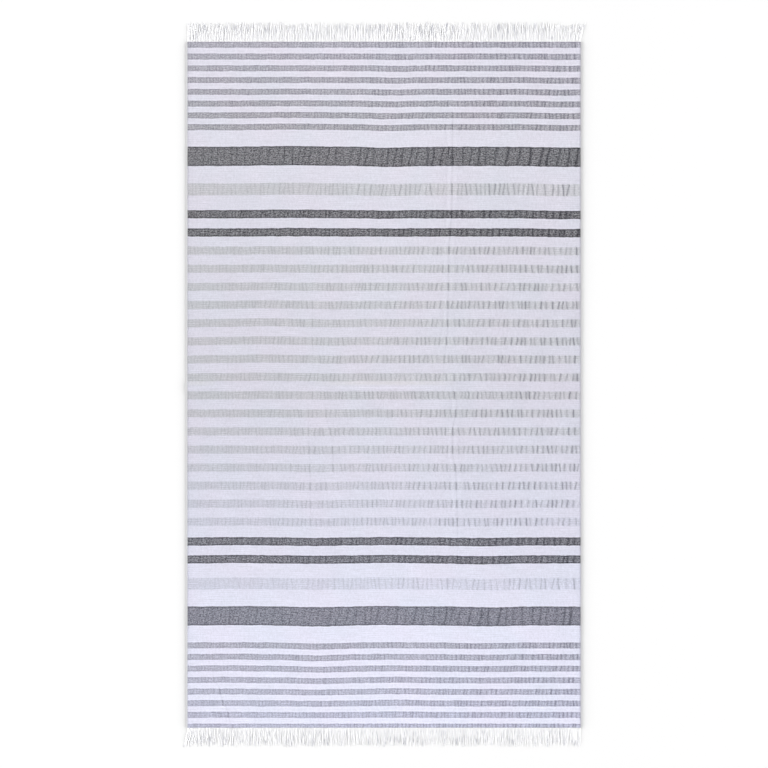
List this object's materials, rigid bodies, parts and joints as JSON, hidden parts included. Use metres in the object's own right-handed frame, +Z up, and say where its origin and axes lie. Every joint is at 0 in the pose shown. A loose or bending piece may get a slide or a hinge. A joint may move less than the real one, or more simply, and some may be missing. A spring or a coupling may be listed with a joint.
{
  "type": "beach towel",
  "caption": "Flat-woven striped beach towel laid out flat, with soft fold creases and a short cut fringe along each end.",
  "frame": {"origin": "under the middle of the towel, on the floor it lies on", "axes": "+Y along the towel's length to its far fringe, +X across its width, +Z up off the floor"},
  "size_m": [0.9648, 1.751, 0.0053],
  "materials": {
    "cloth": "matte flat-woven cotton, white ground with pale, mid and dark grey cross stripes",
    "fringe": "matte white cotton yarn"
  },
  "bodies": {
    "root": {"cloth": "cloth", "fringe_far_end": "fringe", "fringe_near_end": "fringe"}
  },
  "joints": []
}
